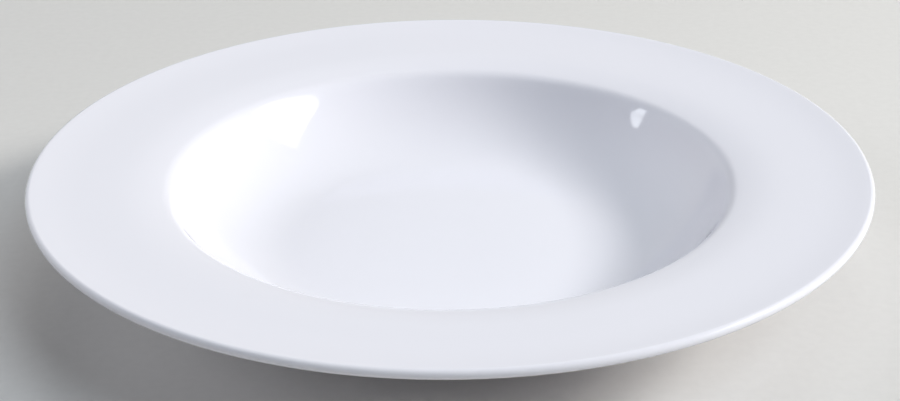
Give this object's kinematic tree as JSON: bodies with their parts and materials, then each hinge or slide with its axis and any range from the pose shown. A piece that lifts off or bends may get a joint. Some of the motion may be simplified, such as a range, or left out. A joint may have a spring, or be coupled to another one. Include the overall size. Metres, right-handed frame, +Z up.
{
  "type": "rimmed soup bowl",
  "caption": "Shallow round glazed porcelain bowl with a broad sloping rim and a bare foot ring, for serving soup or pasta.",
  "frame": {"origin": "middle of the foot ring's standing face, on the table", "axes": "+Z up along the bowl's axis of revolution; -Y faces the picture's camera and +X is to its right"},
  "size_m": [0.23, 0.23, 0.0352],
  "materials": {
    "bare_porcelain": "matt, fine grained, wiped clean of glaze",
    "white_glaze": "high gloss, cool white"
  },
  "bodies": {
    "root": {"porcelain_body": "bare_porcelain", "glaze_coat": "white_glaze", "foot_recess_glaze": "white_glaze"}
  },
  "joints": []
}
